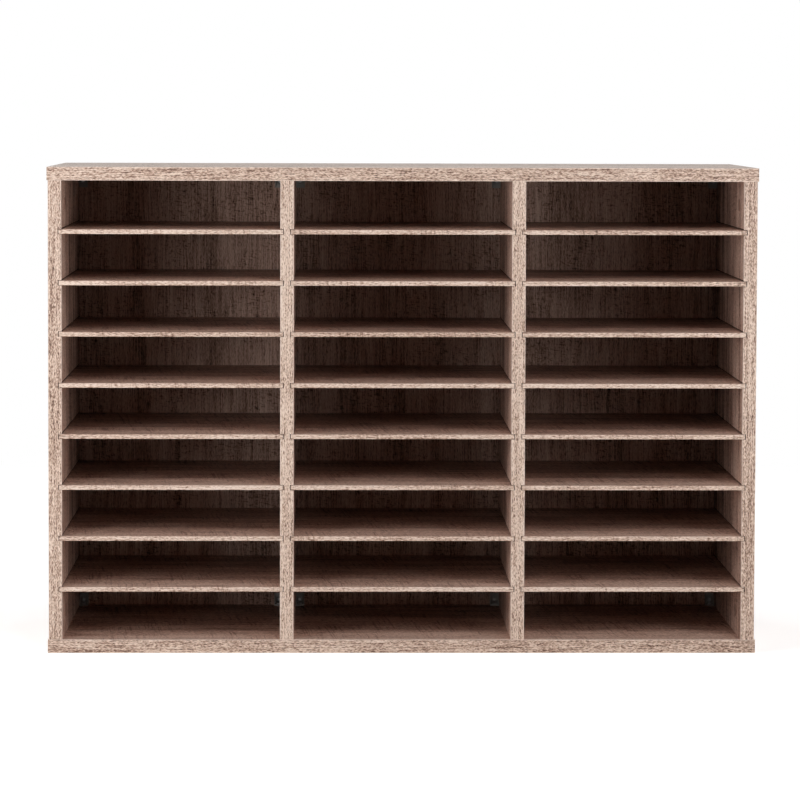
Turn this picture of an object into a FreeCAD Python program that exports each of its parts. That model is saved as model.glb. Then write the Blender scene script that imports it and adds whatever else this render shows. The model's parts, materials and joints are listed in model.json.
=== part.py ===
"""Pigeonhole mail sorter: three bays of stacked compartments in a laminated chipboard carcass.

Two full-width cross boards and four uprights, two side panels and two dividers, are held by
cam locks and dowels. Thin shelves slide from the front into grooves in the uprights. Each
bay has a thin back panel, held in grooves and by small corner brackets.

Frame: X to the right, Y to the rear, Z up, in millimetres. The origin is at the middle of
the footprint, on the surface that the sorter stands on.
"""
import FreeCAD, Part
import os

import Sketcher
from FreeCAD import Rotation, Vector

BAYS = ("left", "centre", "right")
UPRIGHTS = ("left_side", "left_divider", "right_divider", "right_side")
LEVELS = ("bottom", "top")

# Which faces of an upright carry grooves, and which face its cam locks are set in.
GROOVED_FACES = {"left_side": ("right",), "left_divider": ("left", "right"),
                 "right_divider": ("left", "right"), "right_side": ("left",)}
CAM_FACE = {"left_side": "right", "left_divider": "left",
            "right_divider": "right", "right_side": "left"}

TOLERANCE = 1e-6    # mm, or the sine of an angle: what still counts as nothing
LEAST_CUT = 0.1     # mm3: every cut removes more than this

SIZES = (
    ("row_count", 9, "compartments in one bay"),
    ("bay_width", 306.4, "clear width of a bay"),
    ("overall_depth", 305.0, "front of the edge bands to the rear edges"),
    ("board_thickness", 19.0, "cross boards and uprights"),
    ("overhang", 1.5, "cross boards past the side panels, at each end"),
    ("band_thickness", 1.0, "edge bands"),
    ("band_radius", 0.4, "rounding of the bands' front edges"),
    ("bottom_opening", 68.0, "height of the lowest compartment"),
    ("shelf_pitch", 72.0, "from one shelf to the next"),
    ("top_opening", 68.5, "height of the highest compartment"),
    ("shelf_thickness", 6.5, "shelves"),
    ("shelf_radius", 0.8, "rounding of a shelf's front edges"),
    ("shelf_groove_depth", 5.0, "into the face of an upright"),
    ("shelf_play_above", 0.7, "over a shelf in its grooves"),
    ("shelf_play_below", 0.3, "under a shelf in its grooves"),
    ("shelf_end_play", 1.0, "at each end of a shelf in its grooves"),
    ("shelf_back_gap", 1.0, "between a shelf and the back panel"),
    ("back_thickness", 5.0, "back panels"),
    ("back_lip", 4.0, "board left behind the back panels' grooves"),
    ("back_groove_depth", 5.0, "into uprights and cross boards"),
    ("back_play", 0.2, "behind a back panel in its grooves"),
    ("back_edge_play", 0.6, "at each edge of a back panel in its grooves"),
    ("dowel_radius", 4.0, "dowels"),
    ("dowel_chamfer", 1.0, "at both ends of a dowel"),
    ("dowel_in_board", 11.0, "length of a dowel in its cross board"),
    ("dowel_in_upright", 19.0, "length of a dowel in its upright"),
    ("dowel_end_gap", 1.0, "between a dowel's end and the bottom of its bore"),
    ("dowel_setback", 96.0, "dowels from the front and the rear"),
    ("cam_radius", 7.4, "cam locks"),
    ("cam_length", 12.5, "cam locks"),
    ("cam_recess", 1.0, "from an upright's face to its cam locks"),
    ("cam_distance", 34.0, "from an upright's end to the axis of its cam locks"),
    ("cam_setback", 50.0, "cam locks from the front and the rear"),
    ("cam_bore_radius", 3.4, "opening in a cam lock for the bolt's head"),
    ("cam_slot_width", 2.0, "screwdriver slot in a cam lock"),
    ("cam_slot_depth", 1.5, "screwdriver slot in a cam lock"),
    ("cover_radius", 8.7, "cover caps"),
    ("cover_thickness", 0.8, "cover caps"),
    ("bolt_thread_radius", 3.0, "cam bolts, in the cross board"),
    ("bolt_thread_length", 10.5, "cam bolts, in the cross board"),
    ("bolt_shank_radius", 2.8, "cam bolts, between board and cam"),
    ("bolt_neck_radius", 1.8, "cam bolts, behind the head"),
    ("bolt_head_radius", 2.9, "cam bolts"),
    ("bolt_head_length", 3.0, "cam bolts"),
    ("bolt_bore_radius", 3.5, "bore for a cam bolt in an upright"),
    ("bracket_width", 13.0, "corner brackets"),
    ("bracket_height", 17.5, "corner brackets, on the back panel"),
    ("bracket_depth", 14.0, "corner brackets, on the cross board"),
    ("bracket_wall", 2.5, "legs of a corner bracket"),
    ("bracket_gusset", 1.2, "side webs of a corner bracket"),
    ("bracket_boss_radius", 5.0, "raised ring around a screw"),
    ("bracket_boss_height", 1.0, "raised ring around a screw"),
    ("bracket_screw_rise", 8.5, "screw in the back panel, from the cross board"),
    ("bracket_screw_reach", 8.2, "screw in the cross board, from the back panel"),
    ("screw_radius", 1.7, "bracket screws"),
    ("screw_length", 7.8, "bracket screws, under the head"),
    ("screw_head_radius", 3.4, "bracket screws"),
    ("screw_head_rim", 1.0, "straight part of a screw's head"),
    ("screw_head_dome", 1.0, "raised part of a screw's head"),
    ("screw_crown_radius", 1.9, "flat on top of a screw's head"),
    ("screw_cross_length", 3.6, "cross recess"),
    ("screw_cross_width", 0.9, "cross recess"),
    ("screw_cross_depth", 1.4, "cross recess"),
    ("fixing_play", 0.1, "radial play of every fixing in its bore"),
)

LAYOUT = (
    ("overall_width", f"{len(BAYS)} * Sizes.bay_width"
                      f" + {len(UPRIGHTS)} * Sizes.board_thickness + 2 * Sizes.overhang"),
    ("inner_height", "Sizes.bottom_opening + (Sizes.row_count - 2) * Sizes.shelf_pitch"
                     " + Sizes.shelf_thickness + Sizes.top_opening"),
    ("overall_height", "inner_height + 2 * Sizes.board_thickness"),
    ("front_y", "-Sizes.overall_depth / 2"),
    ("upright_x", "Sizes.overhang - overall_width / 2"),
    ("upright_step", "Sizes.bay_width + Sizes.board_thickness"),
    ("back_front", "Sizes.overall_depth - Sizes.back_lip - Sizes.back_play - Sizes.back_thickness"),
    ("back_groove_rear", "Sizes.overall_depth - Sizes.back_lip"),
    ("back_reach", "Sizes.back_groove_depth - Sizes.back_edge_play"),
    ("shelf_groove_width", "Sizes.shelf_thickness + Sizes.shelf_play_below"
                           " + Sizes.shelf_play_above"),
    ("shelf_groove_low", "Sizes.bottom_opening - Sizes.shelf_play_below"),
    ("shelf_reach", "Sizes.shelf_groove_depth - Sizes.shelf_end_play"),
    ("cam_bore_depth", "Sizes.cam_length + Sizes.cam_recess"),
    ("dowel_bore_radius", "Sizes.dowel_radius + Sizes.fixing_play"),
    ("bolt_hole_radius", "Sizes.bolt_thread_radius + Sizes.fixing_play"),
    ("screw_hole_radius", "Sizes.screw_radius + Sizes.fixing_play"),
    ("screw_hole_depth", "Sizes.screw_length + Sizes.fixing_play - Sizes.bracket_wall"),
    ("bracket_offset", "(Sizes.bay_width - Sizes.bracket_width) / 2"),
)

doc = FreeCAD.newDocument("MailSorter")
nodes = []


# Tables of sizes and placing

def fill_sheet(name, rows):
    """Spreadsheet with one named cell a row."""
    sheet = doc.addObject("Spreadsheet::Sheet", name)
    for line, (alias, content, *meaning) in enumerate(rows, start=1):
        sheet.set(f"A{line}", alias)
        sheet.set(f"B{line}", content)
        sheet.setAlias(f"B{line}", alias)
        if meaning:
            sheet.set(f"C{line}", meaning[0])


def place(item, x, y, z, rotation=Rotation()):
    """Turn an object, and bind its position to three expressions."""
    item.Placement = FreeCAD.Placement(Vector(), rotation)
    for axis, expression in zip("xyz", (x, y, z)):
        item.setExpression(f"Placement.Base.{axis}", expression)


def facing(x_axis, z_axis):
    """Rotation that turns an object's own X and Z axes to the given directions."""
    return Rotation(x_axis, z_axis.cross(x_axis), z_axis, "ZXY")


LEFTWARD, RIGHTWARD = Vector(-1, 0, 0), Vector(1, 0, 0)
FORWARD, REARWARD = Vector(0, -1, 0), Vector(0, 1, 0)
UPWARD, DOWNWARD = Vector(0, 0, 1), Vector(0, 0, -1)
LEVEL_AXIS = {"bottom": UPWARD, "top": DOWNWARD}
INNER_Z = {"bottom": "Sizes.board_thickness",
           "top": "Layout.overall_height - Sizes.board_thickness"}


def upright_centre_x(index):
    return f"Layout.upright_x + {index} * Layout.upright_step + Sizes.board_thickness / 2"


def bay_centre_x(index):
    return f"Layout.upright_x + {index} * Layout.upright_step + Layout.upright_step / 2" \
           " + Sizes.board_thickness / 2"


def from_both_ends(setback):
    """Distances from the front plane of a fixing near the front and one near the rear."""
    return setback, f"Sizes.overall_depth - {setback}"


# Sketches and features

def new_body(label, x, y, z, rotation=Rotation()):
    """Body that becomes a sub-part of its own."""
    body = doc.addObject("PartDesign::Body", label)
    place(body, x, y, z, rotation)
    nodes.append(body)
    return body


def origin_item(body, role):
    return next(item for item in body.Origin.OriginFeatures if item.Role == role)


def sketch_on(body, name, plane, height="0"):
    """Empty sketch on a plane of the body, moved along the plane's normal."""
    sketch = body.newObject("Sketcher::SketchObject", f"{body.Name}_{name}")
    sketch.AttachmentSupport = [(origin_item(body, plane), "")]
    sketch.MapMode = "FlatFace"
    sketch.setExpression("AttachmentOffset.Base.z", height)
    return sketch


def number(sketch, expression):
    return float(sketch.evalExpression(expression))


def locate(sketch, geometry, point, x, y):
    """Hold a point of the sketch at two expressions."""
    for kind, expression in (("DistanceX", x), ("DistanceY", y)):
        value = number(sketch, expression)
        index = sketch.addConstraint(Sketcher.Constraint(kind, -1, 1, geometry, point, value))
        sketch.setExpression(f"Constraints[{index}]", expression)


def outline(sketch, corners):
    """Closed outline through corners that are pairs of expressions."""
    points = [Vector(number(sketch, x), number(sketch, y)) for x, y in corners]
    first = sketch.GeometryCount
    count = len(points)
    for index in range(count):
        sketch.addGeometry(Part.LineSegment(points[index], points[(index + 1) % count]))
    for index in range(count):
        following = first + (index + 1) % count
        sketch.addConstraint(Sketcher.Constraint("Coincident", first + index, 2, following, 1))
    for index, (x, y) in enumerate(corners):
        locate(sketch, first + index, 1, x, y)


def rectangle(sketch, left, right, low, high):
    outline(sketch, ((left, low), (right, low), (right, high), (left, high)))


def circle(sketch, x, y, radius):
    centre = Vector(number(sketch, x), number(sketch, y))
    size = number(sketch, radius)
    index = sketch.addGeometry(Part.Circle(centre, UPWARD, size))
    locate(sketch, index, 3, x, y)
    constraint = sketch.addConstraint(Sketcher.Constraint("Radius", index, size))
    sketch.setExpression(f"Constraints[{constraint}]", radius)


def pad(body, sketch, length):
    """Solid raised from a sketch along its normal."""
    feature = body.newObject("PartDesign::Pad", f"{sketch.Name}_pad")
    feature.Profile = sketch
    feature.setExpression("Length", length)
    body.Tip = feature
    return feature


def cut(body, sketch, depth=None, along_normal=False):
    """Pocket against the sketch's normal or along it, through all where no depth is given."""
    feature = body.newObject("PartDesign::Pocket", f"{sketch.Name}_cut")
    feature.Profile = sketch
    feature.Reversed = along_normal
    if depth is None:
        feature.Type = "ThroughAll"
    else:
        feature.setExpression("Length", depth)
    body.Tip = feature
    return feature


def round_front(body, feature, direction, radius):
    """Round the long front edges of a body's first solid, which lie in its plane y = 0."""
    doc.recompute()
    names = [f"Edge{index}" for index, edge in enumerate(feature.Shape.Edges, start=1)
             if edge.BoundBox.YMax < TOLERANCE
             and edge.tangentAt(edge.FirstParameter).cross(direction).Length < TOLERANCE]
    fillet = body.newObject("PartDesign::Fillet", f"{body.Name}_rounding")
    fillet.Base = (feature, names)
    fillet.setExpression("Radius", radius)
    body.Tip = fillet


def cut_shelf_grooves(body, faces):
    """Grooves for the shelves across an upright or its edge band, open at the front."""
    sides = {"left": ("0", "Sizes.shelf_groove_depth"),
             "right": ("Sizes.board_thickness - Sizes.shelf_groove_depth", "Sizes.board_thickness")}
    sketch = sketch_on(body, "shelf_groove", "XZ_Plane")
    for face in faces:
        rectangle(sketch, *sides[face],
                  "Layout.shelf_groove_low", "Layout.shelf_groove_low + Layout.shelf_groove_width")
    groove = cut(body, sketch)
    pattern = body.newObject("PartDesign::LinearPattern", f"{body.Name}_shelf_grooves")
    pattern.Originals = [groove]
    pattern.Direction = (origin_item(body, "Z_Axis"), [""])
    pattern.Mode = "Spacing"
    pattern.setExpression("Offset", "Sizes.shelf_pitch")
    pattern.setExpression("Occurrences", "Sizes.row_count - 1")
    body.Tip = pattern


# Cross boards and their edge bands

def cross_place(level):
    """Position and rotation of a cross board's frame: its outer face is the plane z = 0."""
    if level == "bottom":
        return "-Layout.overall_width / 2", "Layout.front_y", "0", Rotation()
    return "Layout.overall_width / 2", "Layout.front_y", "Layout.overall_height", \
        Rotation(REARWARD, 180)


def cross_board(level):
    """Board over or under the uprights, with every bore and the back groove in its inner face."""
    body = new_body(f"{level}_panel", *cross_place(level))
    blank = sketch_on(body, "blank", "XY_Plane")
    rectangle(blank, "Sizes.band_thickness", "Layout.overall_width - Sizes.band_thickness",
              "Sizes.band_thickness", "Sizes.overall_depth")
    pad(body, blank, "Sizes.board_thickness")

    centres = [f"Sizes.overhang + Sizes.board_thickness / 2 + {index} * Layout.upright_step"
               for index in range(len(UPRIGHTS))]
    dowel_bores = sketch_on(body, "dowel_bores", "XY_Plane", "Sizes.board_thickness")
    bolt_bores = sketch_on(body, "bolt_bores", "XY_Plane", "Sizes.board_thickness")
    for centre in centres:
        for y in from_both_ends("Sizes.dowel_setback"):
            circle(dowel_bores, centre, y, "Layout.dowel_bore_radius")
        for y in from_both_ends("Sizes.cam_setback"):
            circle(bolt_bores, centre, y, "Layout.bolt_hole_radius")
    cut(body, dowel_bores, "Sizes.dowel_in_board + Sizes.dowel_end_gap")
    cut(body, bolt_bores, "Sizes.bolt_thread_length + Sizes.fixing_play")

    groove = sketch_on(body, "back_groove", "XY_Plane", "Sizes.board_thickness")
    end = "Sizes.overhang + Sizes.board_thickness - Sizes.back_groove_depth"
    rectangle(groove, end, f"Layout.overall_width - ({end})",
              "Layout.back_front", "Layout.back_groove_rear")
    cut(body, groove, "Sizes.back_groove_depth")

    screw_bores = sketch_on(body, "screw_bores", "XY_Plane", "Sizes.board_thickness")
    for centre in centres[:-1]:
        for side in ("-", "+"):
            x = f"{centre} + Layout.upright_step / 2 {side} Layout.bracket_offset"
            circle(screw_bores, x, "Layout.back_front - Sizes.bracket_screw_reach",
                   "Layout.screw_hole_radius")
    cut(body, screw_bores, "Layout.screw_hole_depth")


def cross_front_band(level):
    """Band along the front of a cross board, over its end bands too."""
    body = new_body(f"{level}_front_band", *cross_place(level))
    blank = sketch_on(body, "blank", "XY_Plane")
    rectangle(blank, "0", "Layout.overall_width", "0", "Sizes.band_thickness")
    strip = pad(body, blank, "Sizes.board_thickness")
    round_front(body, strip, RIGHTWARD, "Sizes.band_radius")


def cross_end_bands(level):
    """The two bands on the ends of a cross board."""
    strips = []
    for side, x in (("left", "-Layout.overall_width / 2"),
                    ("right", "Layout.overall_width / 2 - Sizes.band_thickness")):
        strip = doc.addObject("Part::Box", f"{level}_{side}_end_band")
        strip.setExpression("Length", "Sizes.band_thickness")
        strip.setExpression("Width", "Sizes.overall_depth - Sizes.band_thickness")
        strip.setExpression("Height", "Sizes.board_thickness")
        low = "0" if level == "bottom" else INNER_Z[level]
        place(strip, x, "Layout.front_y + Sizes.band_thickness", low)
        strips.append(strip)
    gather(f"{level}_end_bands", strips)


# Uprights and their edge bands

def upright_place(index):
    return f"Layout.upright_x + {index} * Layout.upright_step", "Layout.front_y", \
        "Sizes.board_thickness"


def face_offset(face):
    return "0" if face == "left" else "Sizes.board_thickness"


def upright(index, name):
    """Side panel or divider: shelf and back grooves, cam bores, and bores in both ends."""
    body = new_body(f"{name}_panel" if name.endswith("side") else name, *upright_place(index))
    blank = sketch_on(body, "blank", "XY_Plane")
    rectangle(blank, "0", "Sizes.board_thickness", "Sizes.band_thickness", "Sizes.overall_depth")
    pad(body, blank, "Layout.inner_height")

    back_grooves = sketch_on(body, "back_grooves", "XY_Plane")
    sides = {"left": ("0", "Sizes.back_groove_depth"),
             "right": ("Sizes.board_thickness - Sizes.back_groove_depth", "Sizes.board_thickness")}
    for face in GROOVED_FACES[name]:
        rectangle(back_grooves, *sides[face], "Layout.back_front", "Layout.back_groove_rear")
    cut(body, back_grooves, along_normal=True)

    face = CAM_FACE[name]
    cam_bores = sketch_on(body, "cam_bores", "YZ_Plane", face_offset(face))
    for y in from_both_ends("Sizes.cam_setback"):
        for z in ("Sizes.cam_distance", "Layout.inner_height - Sizes.cam_distance"):
            circle(cam_bores, y, z, "Sizes.cam_radius + Sizes.fixing_play")
    cut(body, cam_bores, "Layout.cam_bore_depth", along_normal=face == "left")

    for level, height in (("bottom", "0"), ("top", "Layout.inner_height")):
        dowel_bores = sketch_on(body, f"{level}_dowel_bores", "XY_Plane", height)
        bolt_bores = sketch_on(body, f"{level}_bolt_bores", "XY_Plane", height)
        middle = "Sizes.board_thickness / 2"
        for y in from_both_ends("Sizes.dowel_setback"):
            circle(dowel_bores, middle, y, "Layout.dowel_bore_radius")
        for y in from_both_ends("Sizes.cam_setback"):
            circle(bolt_bores, middle, y, "Sizes.bolt_bore_radius")
        upward = level == "bottom"
        cut(body, dowel_bores, "Sizes.dowel_in_upright + Sizes.dowel_end_gap", along_normal=upward)
        cut(body, bolt_bores, "Sizes.cam_distance", along_normal=upward)
    cut_shelf_grooves(body, GROOVED_FACES[name])


def upright_band(index, name):
    """Band on the front edge of an upright, notched by the shelf grooves."""
    body = new_body(f"{name}_band", *upright_place(index))
    blank = sketch_on(body, "blank", "XY_Plane")
    rectangle(blank, "0", "Sizes.board_thickness", "0", "Sizes.band_thickness")
    strip = pad(body, blank, "Layout.inner_height")
    round_front(body, strip, UPWARD, "Sizes.band_radius")
    cut_shelf_grooves(body, GROOVED_FACES[name])


# Panels and shelves of one bay

def back_panel(index, bay):
    """Thin panel in the grooves of two uprights and both cross boards."""
    body = new_body(f"{bay}_back_panel",
                    f"{bay_centre_x(index)} - Sizes.bay_width / 2 - Layout.back_reach",
                    "Layout.front_y + Layout.back_front",
                    "Sizes.board_thickness - Layout.back_reach")
    blank = sketch_on(body, "blank", "XY_Plane")
    width = "Sizes.bay_width + 2 * Layout.back_reach"
    height = "Layout.inner_height + 2 * Layout.back_reach"
    rectangle(blank, "0", width, "0", "Sizes.back_thickness")
    pad(body, blank, height)

    screw_bores = sketch_on(body, "screw_bores", "XZ_Plane")
    rise = "Layout.back_reach + Sizes.bracket_screw_rise"
    for side in ("-", "+"):
        for z in (rise, f"{height} - ({rise})"):
            circle(screw_bores, f"({width}) / 2 {side} Layout.bracket_offset", z,
                   "Layout.screw_hole_radius")
    cut(body, screw_bores, "Layout.screw_hole_depth - Sizes.bracket_boss_height")


def shelf(index, bay, row):
    """Thin shelf that slides out to the front, numbered from the lowest."""
    body = new_body(f"{bay}_shelf_{row + 1}",
                    f"{bay_centre_x(index)} - Sizes.bay_width / 2 - Layout.shelf_reach",
                    "Layout.front_y",
                    "Sizes.board_thickness + Sizes.bottom_opening"
                    f" + {row} * Sizes.shelf_pitch")
    blank = sketch_on(body, "blank", "XY_Plane")
    rectangle(blank, "0", "Sizes.bay_width + 2 * Layout.shelf_reach",
              "0", "Layout.back_front - Sizes.shelf_back_gap")
    board = pad(body, blank, "Sizes.shelf_thickness")
    round_front(body, board, RIGHTWARD, "Sizes.shelf_radius")


def corner_bracket(index, bay, level, side):
    """Angle bracket in a rear corner of a bay, with side webs and a ring round each screw.

    Its own frame has y = 0 on the back panel, y to the front, and z = 0 on the cross board.
    """
    hand = {"left": "-", "right": "+"}[side]
    rotation = Rotation(UPWARD, 180) if level == "bottom" else Rotation(RIGHTWARD, 180)
    body = new_body(f"{bay}_bay_{level}_{side}_bracket",
                    f"{bay_centre_x(index)} {hand} Layout.bracket_offset",
                    "Layout.front_y + Layout.back_front", INNER_Z[level], rotation)
    profile = sketch_on(body, "profile", "YZ_Plane", "-Sizes.bracket_width / 2")
    outline(profile, (("0", "0"), ("Sizes.bracket_depth", "0"),
                      ("Sizes.bracket_depth", "Sizes.bracket_wall"),
                      ("Sizes.bracket_wall", "Sizes.bracket_height"),
                      ("0", "Sizes.bracket_height")))
    pad(body, profile, "Sizes.bracket_width")

    hollow = sketch_on(body, "hollow", "YZ_Plane",
                       "Sizes.bracket_width / 2 - Sizes.bracket_gusset")
    rectangle(hollow, "Sizes.bracket_wall", "Sizes.bracket_depth",
              "Sizes.bracket_wall", "Sizes.bracket_height")
    cut(body, hollow, "Sizes.bracket_width - 2 * Sizes.bracket_gusset")

    boss = sketch_on(body, "boss", "XZ_Plane", "-Sizes.bracket_wall - Sizes.bracket_boss_height")
    circle(boss, "0", "Sizes.bracket_screw_rise", "Sizes.bracket_boss_radius")
    pad(body, boss, "Sizes.bracket_boss_height")

    back_bore = sketch_on(body, "back_bore", "XZ_Plane")
    circle(back_bore, "0", "Sizes.bracket_screw_rise", "Layout.screw_hole_radius")
    cut(body, back_bore)
    board_bore = sketch_on(body, "board_bore", "XY_Plane")
    circle(board_bore, "0", "Sizes.bracket_screw_reach", "Layout.screw_hole_radius")
    cut(body, board_bore, "Sizes.bracket_wall", along_normal=True)


# Fixings, each kind one node of separate solids

def gather(label, items):
    """Compound of separate solids that becomes a sub-part of its own."""
    group = doc.addObject("Part::Compound", label)
    group.Links = items
    nodes.append(group)


def round_bar(name, first, last, length):
    """Cylinder along Z, or a cone where its two end radii differ."""
    straight = first == last
    bar = doc.addObject("Part::Cylinder" if straight else "Part::Cone", name)
    bar.setExpression("Height", length)
    if straight:
        bar.setExpression("Radius", first)
    else:
        bar.setExpression("Radius1", first)
        bar.setExpression("Radius2", last)
    return bar


def turned(name, start, steps):
    """Turned piece along Z: each step is its first radius, last radius and length."""
    pieces = []
    height = start
    for index, (first, last, length) in enumerate(steps):
        piece = round_bar(f"{name}_step_{index}", first, last, length)
        place(piece, "0", "0", height)
        height = f"{height} + {length}"
        pieces.append(piece)
    whole = doc.addObject("Part::MultiFuse", name)
    whole.Shapes = pieces
    return whole


def slot(name, length, width, depth, top, turn=0):
    """Block that cuts a slot of the given depth into a head whose top is at a height."""
    block = doc.addObject("Part::Box", name)
    block.setExpression("Length", length)
    block.setExpression("Width", width)
    block.setExpression("Height", depth)
    x, y = f"-({length}) / 2", f"-({width}) / 2"
    if turn:
        x, y = f"({width}) / 2", f"-({length}) / 2"
    place(block, x, y, f"{top} - {depth}", Rotation(UPWARD, turn))
    return block


def carve(name, base, tools):
    """Piece less one or more cutting blocks."""
    for index, tool in enumerate(tools):
        result = doc.addObject("Part::Cut", f"{name}_{index}")
        result.Base = base
        result.Tool = tool
        base = result
    return base


def copies(label, pattern, places):
    """Node made of copies of one piece; a place is three expressions and a rotation."""
    links = []
    for index, (x, y, z, rotation) in enumerate(places):
        link = doc.addObject("App::Link", f"{label}_{index + 1}")
        link.LinkedObject = pattern
        place(link, x, y, z, rotation)
        links.append(link)
    gather(label, links)


def carcass_joints(setback, height="0"):
    """Places on the axis of each upright, a height away from each cross board's inner face."""
    for index, _ in enumerate(UPRIGHTS):
        for level in LEVELS:
            sign = "+" if level == "bottom" else "-"
            rotation = Rotation() if level == "bottom" else Rotation(REARWARD, 180)
            for y in from_both_ends(setback):
                yield upright_centre_x(index), f"Layout.front_y + {y}", \
                    f"{INNER_Z[level]} {sign} {height}", rotation


def cam_places(height_in_bore):
    """Places on the axes of the cam bores, a height above the bottom of the bore."""
    for index, name in enumerate(UPRIGHTS):
        face = RIGHTWARD if CAM_FACE[name] == "right" else LEFTWARD
        sign = "+" if CAM_FACE[name] == "right" else "-"
        reach = f"(Sizes.board_thickness / 2 - Layout.cam_bore_depth + {height_in_bore})"
        for level in LEVELS:
            away = "+" if level == "bottom" else "-"
            rotation = facing(-LEVEL_AXIS[level], face)
            for y in from_both_ends("Sizes.cam_setback"):
                yield f"{upright_centre_x(index)} {sign} {reach}", f"Layout.front_y + {y}", \
                    f"{INNER_Z[level]} {away} Sizes.cam_distance", rotation


def screw_places():
    """One screw into the back panel and one into the cross board for each bracket."""
    for index, _ in enumerate(BAYS):
        for level in LEVELS:
            away = "+" if level == "bottom" else "-"
            for hand in ("-", "+"):
                x = f"{bay_centre_x(index)} {hand} Layout.bracket_offset"
                yield x, "Layout.front_y + Layout.back_front - Sizes.bracket_wall" \
                    " - Sizes.bracket_boss_height", \
                    f"{INNER_Z[level]} {away} Sizes.bracket_screw_rise", facing(RIGHTWARD, FORWARD)
                yield x, "Layout.front_y + Layout.back_front - Sizes.bracket_screw_reach", \
                    f"{INNER_Z[level]} {away} Sizes.bracket_wall", \
                    facing(RIGHTWARD, LEVEL_AXIS[level])


def dowels():
    pin = turned("dowel", "-Sizes.dowel_in_board", (
        ("Sizes.dowel_radius - Sizes.dowel_chamfer", "Sizes.dowel_radius", "Sizes.dowel_chamfer"),
        ("Sizes.dowel_radius", "Sizes.dowel_radius",
         "(Sizes.dowel_in_board + Sizes.dowel_in_upright - 2 * Sizes.dowel_chamfer)"),
        ("Sizes.dowel_radius", "Sizes.dowel_radius - Sizes.dowel_chamfer", "Sizes.dowel_chamfer")))
    copies("dowels", pin, carcass_joints("Sizes.dowel_setback"))


def cam_bolts():
    """Bolt screwed into a cross board, with its head in the middle of a cam lock."""
    shank = "(Sizes.cam_distance - Sizes.cam_radius)"
    neck = "(Sizes.cam_radius - Sizes.bolt_head_length / 2)"
    bolt = turned("cam_bolt", "-Sizes.bolt_thread_length", (
        ("Sizes.bolt_thread_radius", "Sizes.bolt_thread_radius", "Sizes.bolt_thread_length"),
        ("Sizes.bolt_shank_radius", "Sizes.bolt_shank_radius", shank),
        ("Sizes.bolt_neck_radius", "Sizes.bolt_neck_radius", neck),
        ("Sizes.bolt_head_radius", "Sizes.bolt_head_radius", "Sizes.bolt_head_length")))
    copies("cam_bolts", bolt, carcass_joints("Sizes.cam_setback"))


def cam_locks():
    """Cam with a screwdriver slot in its outer face and a bore for the bolt's head."""
    blank = round_bar("cam_blank", "Sizes.cam_radius", "Sizes.cam_radius", "Sizes.cam_length")
    bore = round_bar("cam_bore", "Sizes.cam_bore_radius", "Sizes.cam_bore_radius",
                     "Sizes.cam_radius + Sizes.bolt_head_length")
    place(bore, "-Sizes.bolt_head_length", "0", "Layout.cam_bore_depth - Sizes.board_thickness / 2",
          facing(UPWARD, RIGHTWARD))
    driver = slot("cam_slot", "2 * Sizes.cam_radius", "Sizes.cam_slot_width",
                  "Sizes.cam_slot_depth", "Sizes.cam_length")
    copies("cam_locks", carve("cam_lock", blank, (bore, driver)), cam_places("0"))


def cam_covers():
    """Thin cap over each cam lock, with a spigot in the recess."""
    cap = turned("cam_cover", "0", (
        ("Sizes.cam_radius", "Sizes.cam_radius", "Sizes.cam_recess"),
        ("Sizes.cover_radius", "Sizes.cover_radius", "Sizes.cover_thickness")))
    copies("cam_covers", cap, cam_places("Sizes.cam_length"))


def bracket_screws():
    """Pan-head screws with a cross recess."""
    blank = turned("screw_blank", "-Sizes.screw_length", (
        ("Sizes.screw_radius", "Sizes.screw_radius", "Sizes.screw_length"),
        ("Sizes.screw_head_radius", "Sizes.screw_head_radius", "Sizes.screw_head_rim"),
        ("Sizes.screw_head_radius", "Sizes.screw_crown_radius", "Sizes.screw_head_dome")))
    top = "Sizes.screw_head_rim + Sizes.screw_head_dome"
    cross = [slot(f"screw_cross_{turn}", "Sizes.screw_cross_length", "Sizes.screw_cross_width",
                  "Sizes.screw_cross_depth", top, turn) for turn in (0, 90)]
    copies("bracket_screws", carve("screw", blank, cross), screw_places())


def check_document():
    """Stop on a failed object, an empty or invalid shape, or a cut that removes nothing."""
    doc.recompute()
    for item in doc.Objects:
        if "Invalid" in item.State or "Error" in item.State:
            raise RuntimeError(f"{item.Name} failed: {item.State}")
        if item.TypeId == "PartDesign::Pocket":
            if item.Shape.Volume > item.BaseFeature.Shape.Volume - LEAST_CUT:
                raise RuntimeError(f"{item.Name} cuts nothing")
    for node in nodes:
        if node.Shape.isNull() or not node.Shape.isValid():
            raise RuntimeError(f"{node.Label} has no valid shape")


def export_nodes():
    os.makedirs("parts", exist_ok=True)
    for node in nodes:
        node.Shape.exportStep(f"parts/{node.Label}.step")


fill_sheet("Sizes", [(alias, str(size), meaning) for alias, size, meaning in SIZES])
fill_sheet("Layout", [(alias, f"={formula}") for alias, formula in LAYOUT])
doc.recompute()

for level in LEVELS:
    cross_board(level)
    cross_front_band(level)
    cross_end_bands(level)
for index, name in enumerate(UPRIGHTS):
    upright(index, name)
    upright_band(index, name)
shelf_count = int(doc.getObject("Sizes").row_count) - 1
for index, bay in enumerate(BAYS):
    back_panel(index, bay)
    for row in range(shelf_count):
        shelf(index, bay, row)
    for level in LEVELS:
        for side in ("left", "right"):
            corner_bracket(index, bay, level, side)
dowels()
cam_bolts()
cam_locks()
cam_covers()
bracket_screws()

check_document()
export_nodes()
print(f"{len(nodes)} sub-parts, {doc.getObject('Layout').overall_width:.1f} x "
      f"{doc.getObject('Sizes').overall_depth:.1f} x {doc.getObject('Layout').overall_height:.1f} mm")
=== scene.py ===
# %% [markdown]
# # A pigeonhole mail sorter
#
# The sorter is built from flat boards, so nearly all of its character is in its surfaces:
# a printed film that looks like rough-sawn oak, pale bands on the front edges, and bare
# chipboard wherever a saw or a drill has gone through the film. The solids come ready made
# from the CAD model. This lesson gives them their finishes and sets up the camera and the
# studio.

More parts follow.
